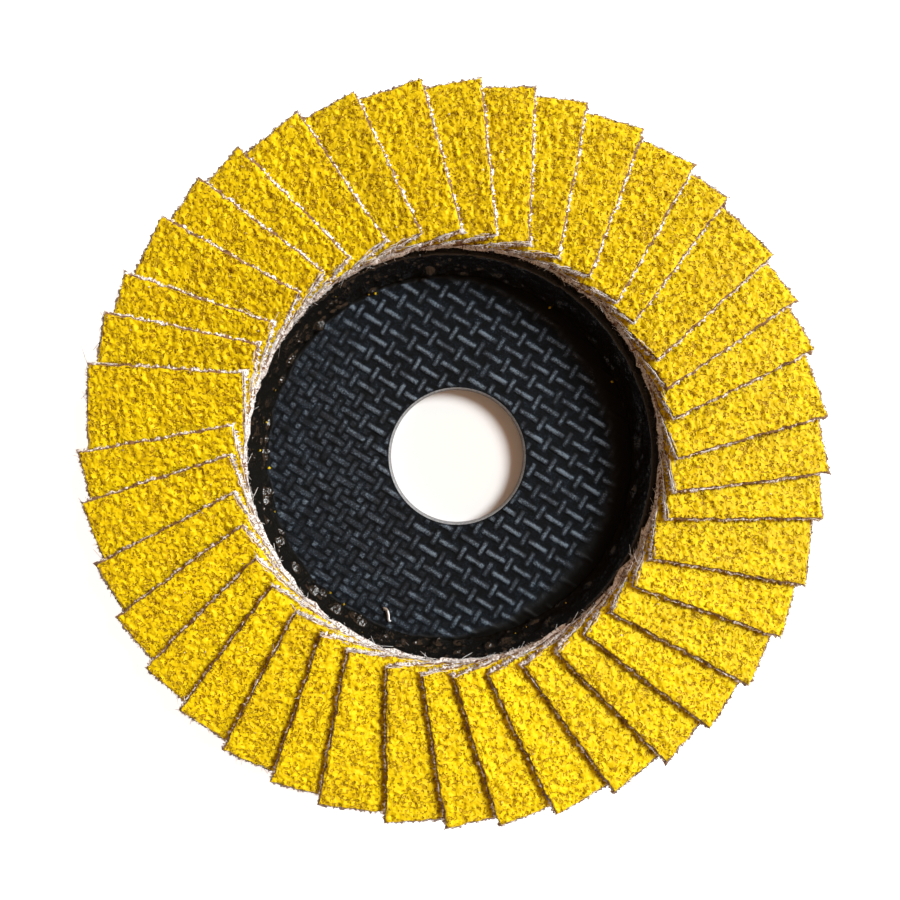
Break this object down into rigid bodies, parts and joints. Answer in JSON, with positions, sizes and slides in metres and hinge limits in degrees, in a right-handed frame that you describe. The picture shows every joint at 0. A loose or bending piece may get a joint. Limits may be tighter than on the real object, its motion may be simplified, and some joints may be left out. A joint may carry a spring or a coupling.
{
  "type": "flap disc",
  "caption": "Round flap disc for an angle grinder: overlapping coated-cloth flaps set in an epoxy bed on a dished glass-fibre backing plate with a spindle bore.",
  "frame": {"origin": "on the bore axis at the back face of the hub, on which the disc lies", "axes": "+Z along the bore axis from the hub's back towards the grit side; +X and +Y in the plane of the disc, with flap_01 centred about 6 degrees anticlockwise of +Y"},
  "size_m": [0.1149, 0.115, 0.0139],
  "materials": {
    "glass_fibre_plate": "woven imprint, matte",
    "black_epoxy": "glossy, lumpy",
    "abrasive_cloth": "coarse grit on cloth"
  },
  "bodies": {
    "root": {"backing_plate": "glass_fibre_plate", "epoxy_bed": "black_epoxy", "flap_01": "abrasive_cloth", "flap_02": "abrasive_cloth", "flap_03": "abrasive_cloth", "flap_04": "abrasive_cloth", "flap_05": "abrasive_cloth", "flap_06": "abrasive_cloth", "flap_07": "abrasive_cloth", "flap_08": "abrasive_cloth", "flap_09": "abrasive_cloth", "flap_10": "abrasive_cloth", "flap_11": "abrasive_cloth", "flap_12": "abrasive_cloth", "flap_13": "abrasive_cloth", "flap_14": "abrasive_cloth", "flap_15": "abrasive_cloth", "flap_16": "abrasive_cloth", "flap_17": "abrasive_cloth", "flap_18": "abrasive_cloth", "flap_19": "abrasive_cloth", "flap_20": "abrasive_cloth", "flap_21": "abrasive_cloth", "flap_22": "abrasive_cloth", "flap_23": "abrasive_cloth", "flap_24": "abrasive_cloth", "flap_25": "abrasive_cloth", "flap_26": "abrasive_cloth", "flap_27": "abrasive_cloth", "flap_28": "abrasive_cloth", "flap_29": "abrasive_cloth", "flap_30": "abrasive_cloth", "flap_31": "abrasive_cloth", "flap_32": "abrasive_cloth", "flap_33": "abrasive_cloth", "flap_34": "abrasive_cloth", "flap_35": "abrasive_cloth", "flap_36": "abrasive_cloth", "flap_37": "abrasive_cloth", "flap_38": "abrasive_cloth", "flap_39": "abrasive_cloth", "flap_40": "abrasive_cloth"}
  },
  "joints": []
}
